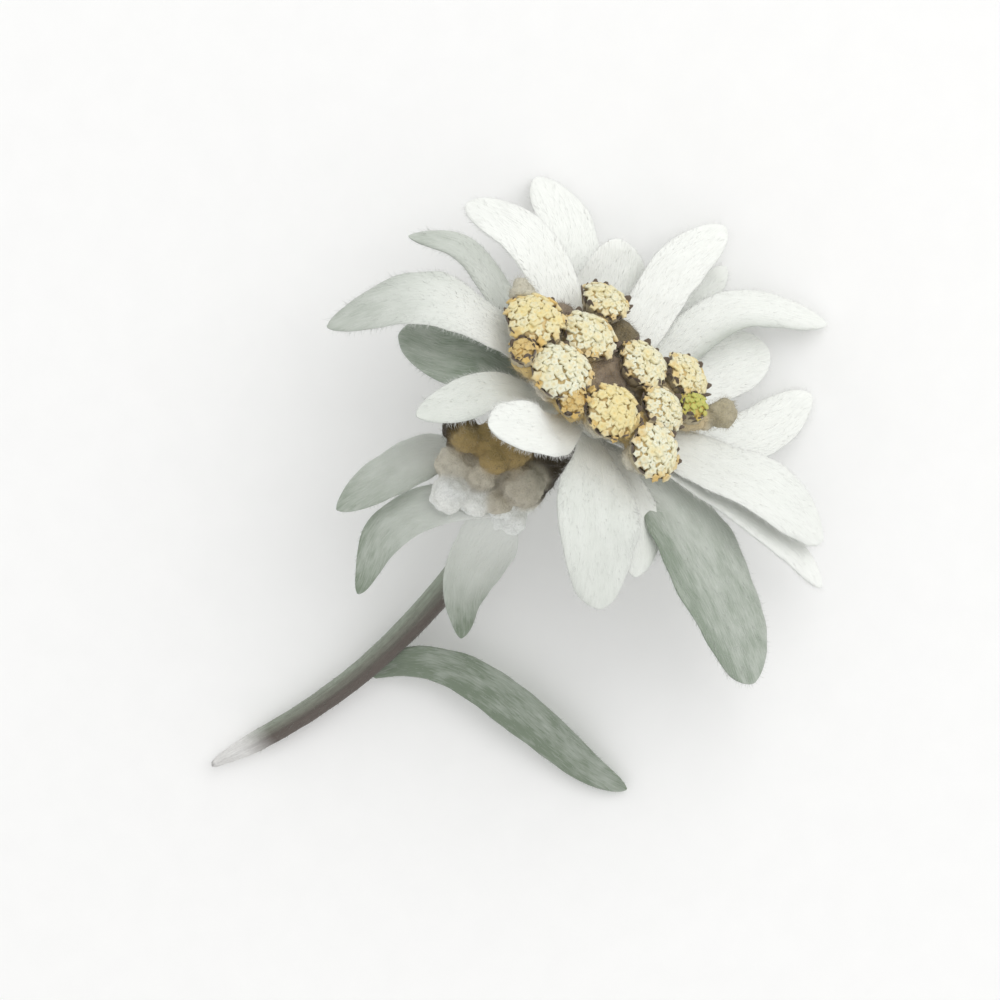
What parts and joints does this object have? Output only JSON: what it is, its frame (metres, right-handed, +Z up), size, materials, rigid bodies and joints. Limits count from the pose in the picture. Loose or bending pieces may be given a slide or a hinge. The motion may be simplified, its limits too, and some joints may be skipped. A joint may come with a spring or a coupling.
{
  "type": "edelweiss flower",
  "caption": "Cut edelweiss lying on its side: a star of woolly white bracts round a cluster of small yellow heads, on a short leafy stem.",
  "frame": {"origin": "centre of the bounding box in plan, at the height of the surface the flower lies on", "axes": "+Z up from the surface, +X along the length, from the cut end of the stem towards the flower, +Y across it"},
  "size_m": [0.0922, 0.0636, 0.0399],
  "materials": {
    "stem": "brown-grey stem with thin grey wool, paler at the cut end",
    "neck_wool": "beige and brown plant wool",
    "bract_wool": "dense white wool, matt",
    "leaf_felt": "grey-green leaf under thin felt, matt",
    "involucre": "woolly scales with brown dry tips",
    "floret": "cream and pale yellow, ochre at the rims, matt"
  },
  "bodies": {
    "root": {"stem": "stem", "neck": "neck_wool", "bract_01": "bract_wool", "bract_02": "bract_wool", "bract_03": "bract_wool", "bract_04": "bract_wool", "bract_05": "bract_wool", "bract_06": "bract_wool", "bract_07": "bract_wool", "bract_08": "bract_wool", "bract_09": "bract_wool", "bract_10": "bract_wool", "bract_11": "bract_wool", "bract_12": "bract_wool", "bract_13": "bract_wool", "bract_14": "bract_wool", "bract_15": "bract_wool", "bract_16": "bract_wool", "bract_17": "bract_wool", "bract_18": "bract_wool", "lower_leaf_1": "leaf_felt", "lower_leaf_2": "leaf_felt", "lower_leaf_3": "leaf_felt", "stem_leaf": "leaf_felt", "involucre_1": "involucre", "involucre_2": "involucre", "involucre_3": "involucre", "involucre_4": "involucre", "involucre_5": "involucre", "involucre_6": "involucre", "involucre_7": "involucre", "involucre_8": "involucre", "involucre_9": "involucre", "florets_1": "floret", "florets_2": "floret", "florets_3": "floret", "florets_4": "floret", "florets_5": "floret", "florets_6": "floret", "florets_7": "floret", "florets_8": "floret", "florets_9": "floret"}
  },
  "joints": []
}
